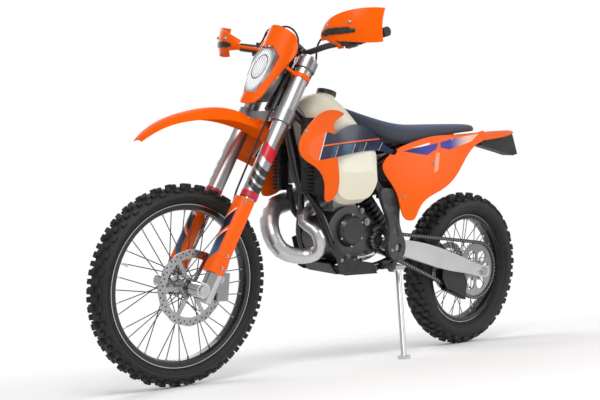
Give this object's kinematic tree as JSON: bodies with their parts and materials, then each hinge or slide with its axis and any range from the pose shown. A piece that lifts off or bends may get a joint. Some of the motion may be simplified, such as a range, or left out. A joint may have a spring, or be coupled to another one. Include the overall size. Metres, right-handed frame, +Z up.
{
  "type": "enduro motorcycle",
  "caption": "Enduro dirt bike parked on its side stand, with orange and navy panels, knobby tyres, an upside-down fork and an under-slung expansion chamber.",
  "frame": {"origin": "on the ground below the middle of the parked machine's outer box", "axes": "+X to the front, +Y to the rider's left, +Z up; the machine leans to its left onto the stand"},
  "size_m": [2.1659, 0.8695, 1.3664],
  "materials": {
    "black_plastic": "matte",
    "cast_alloy": "cast",
    "clear_lens": "clear",
    "cover_paint": "satin",
    "fork_alloy": "satin",
    "fork_chrome": "polished",
    "frame_paint": "gloss",
    "grey_plastic": "satin",
    "grip_rubber": "matte",
    "navy_plastic": "gloss",
    "orange_plastic": "gloss",
    "pipe_steel": "brushed",
    "red_seal": "satin",
    "rim_paint": "gloss",
    "seat_cover": "matte",
    "stand_alloy": "satin",
    "steel": "brushed",
    "swingarm_alloy": "satin",
    "tank_plastic": "satin",
    "tyre_rubber": "matte"
  },
  "bodies": {
    "chassis": {"airbox": "black_plastic", "chain": "steel", "clutch_cover": "cover_paint", "crankcase": "cast_alloy", "cylinder": "cast_alloy", "cylinder_head": "cast_alloy", "exhaust_pipe": "pipe_steel", "footpegs": "steel", "frame": "frame_paint", "frame_guards": "grey_plastic", "front_sprocket": "steel", "fuel_cap": "black_plastic", "fuel_tank": "tank_plastic", "ignition_cover": "cover_paint", "radiator_guards": "black_plastic", "radiators": "frame_paint", "rear_axle": "steel", "rear_caliper": "cover_paint", "rear_fender": "orange_plastic", "seat": "seat_cover", "shock": "cover_paint", "shroud_wings": "navy_plastic", "shrouds": "orange_plastic", "side_panels": "orange_plastic", "silencer": "swingarm_alloy", "skid_plate": "black_plastic", "subframe": "frame_paint", "swingarm": "swingarm_alloy", "swingarm_pivot_bolt": "steel", "tail_light": "black_plastic"},
    "steering": {"fork_guards": "orange_plastic", "fork_inner_tubes": "fork_chrome", "fork_outer_tubes": "fork_alloy", "front_axle": "steel", "front_caliper": "cover_paint", "front_fender": "orange_plastic", "grips": "grip_rubber", "handguards": "orange_plastic", "handlebar": "cover_paint", "headlight": "clear_lens", "headlight_mask": "orange_plastic", "triple_clamps": "cover_paint", "wiper_rings": "red_seal"},
    "front_wheel": {"front_disc": "steel", "front_hub": "fork_alloy", "front_rim": "rim_paint", "front_spokes": "steel", "front_tyre": "tyre_rubber"},
    "rear_wheel": {"rear_disc": "steel", "rear_hub": "fork_alloy", "rear_rim": "rim_paint", "rear_spokes": "steel", "rear_sprocket": "steel", "rear_tyre": "tyre_rubber"},
    "side_stand": {"side_stand": "stand_alloy"}
  },
  "joints": [
    {"name": "steering", "type": "hinge", "parent": "chassis", "child": "steering", "pos_m": [0.33472, -0.04333, 1.0061], "axis": [-0.4462, 0.1708, 0.8785], "range_deg": [-42, 42]},
    {"name": "front_wheel", "type": "hinge", "parent": "steering", "child": "front_wheel", "pos_m": [0.736, -0.17253, 0.34145], "axis": [0, 0.9816, -0.1908], "continuous": true},
    {"name": "rear_wheel", "type": "hinge", "parent": "chassis", "child": "rear_wheel", "pos_m": [-0.746, -0.17431, 0.33228], "axis": [0, 0.9816, -0.1908], "continuous": true},
    {"name": "side_stand", "type": "hinge", "parent": "chassis", "child": "side_stand", "pos_m": [-0.186, -0.02935, 0.34434], "axis": [-0.1021, 0.9904, -0.0927], "range_deg": [0, 137]}
  ]
}
